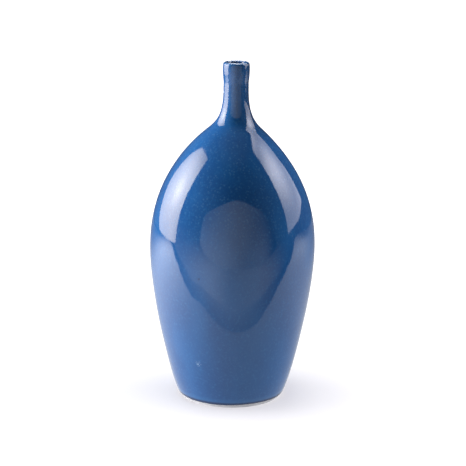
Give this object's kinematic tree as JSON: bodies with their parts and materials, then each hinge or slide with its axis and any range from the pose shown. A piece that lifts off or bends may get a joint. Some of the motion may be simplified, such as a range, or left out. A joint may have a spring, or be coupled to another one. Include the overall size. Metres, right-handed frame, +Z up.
{
  "type": "ceramic bud vase",
  "caption": "Tall glazed stoneware bottle vase with a full belly, sloping shoulder, slim neck and narrow mouth, which holds water and a few stems.",
  "frame": {"origin": "centre of the plane that the foot stands on, on the body's axis", "axes": "+Z up along the body's axis; +X towards the side that the neck stands off to; -Y towards the side that faces the viewer"},
  "size_m": [0.1456, 0.1456, 0.3],
  "materials": {
    "bare_stoneware": "unglazed, fired, matt, pale grey-white",
    "fired_slip": "unglazed, fired, matt",
    "blue_glaze": "gloss blue glaze, mottled, lighter where it runs thin",
    "blue_liner_glaze": "gloss blue glaze",
    "blue_base_glaze": "gloss blue glaze, thin"
  },
  "bodies": {
    "root": {"clay_body": "bare_stoneware", "clay_neck": "bare_stoneware", "luting_slip": "fired_slip", "outer_glaze": "blue_glaze", "liner_glaze": "blue_liner_glaze", "base_glaze": "blue_base_glaze"}
  },
  "joints": []
}
